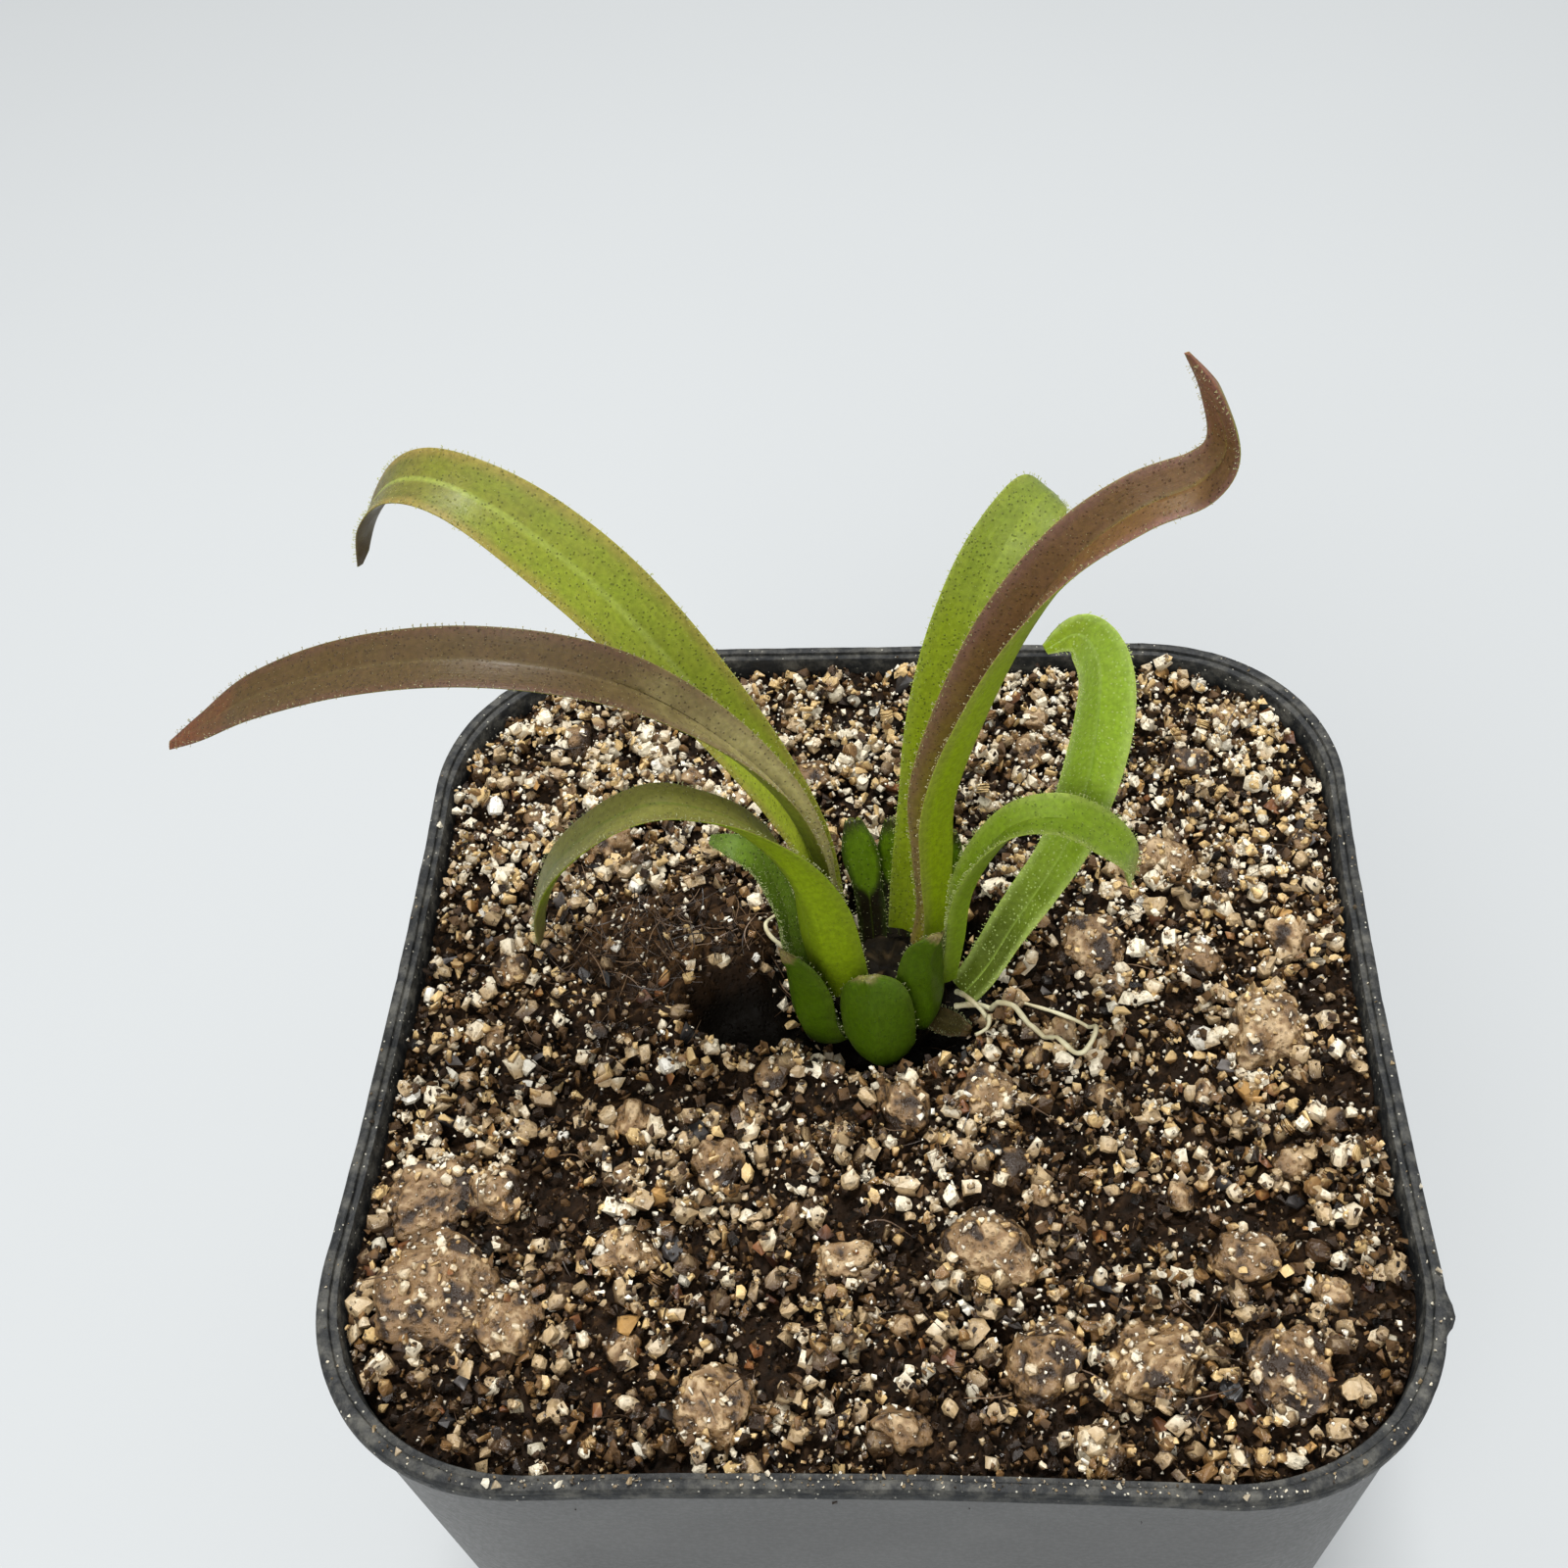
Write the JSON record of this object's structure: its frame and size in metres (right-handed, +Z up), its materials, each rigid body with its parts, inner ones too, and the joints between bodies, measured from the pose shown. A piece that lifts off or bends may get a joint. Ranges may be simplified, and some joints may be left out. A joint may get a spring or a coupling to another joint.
{
  "type": "potted butterwort",
  "caption": "Young butterwort rosette with long curved leaves and small scale leaves, rooted in gritty soil in a square black plastic nursery pot.",
  "frame": {"origin": "middle of the pot's flat underside, on the surface it stands on", "axes": "+Z up, towards the plant; -Y towards the viewer of the reference picture; +X to that viewer's right"},
  "size_m": [0.0852, 0.0752, 0.1266],
  "materials": {
    "pot_plastic": "black moulded plastic, lightly scuffed and dusty",
    "soil": "damp gritty potting mix of peat, sand, perlite, vermiculite and pumice",
    "leaf_green": "fleshy green leaf, softly glossy, with fine glandular hairs",
    "leaf_bronze": "fleshy purple-brown leaf with green where it is shaded",
    "leaf_olive": "fleshy olive green leaf, brighter towards its base",
    "leaf_deep_green": "fleshy dark green leaf",
    "root": "thin dry off-white root"
  },
  "bodies": {
    "root": {"pot": "pot_plastic", "soil": "soil", "crown": "leaf_deep_green", "leaf_upper_left": "leaf_green", "leaf_far_left": "leaf_bronze", "leaf_left_arching": "leaf_olive", "leaf_left_short": "leaf_deep_green", "leaf_tall_middle": "leaf_green", "leaf_right_kinked": "leaf_bronze", "leaf_right_curled": "leaf_green", "leaf_right_arching": "leaf_green", "root_right_long": "root", "root_right_short": "root", "root_left": "root"}
  },
  "joints": []
}
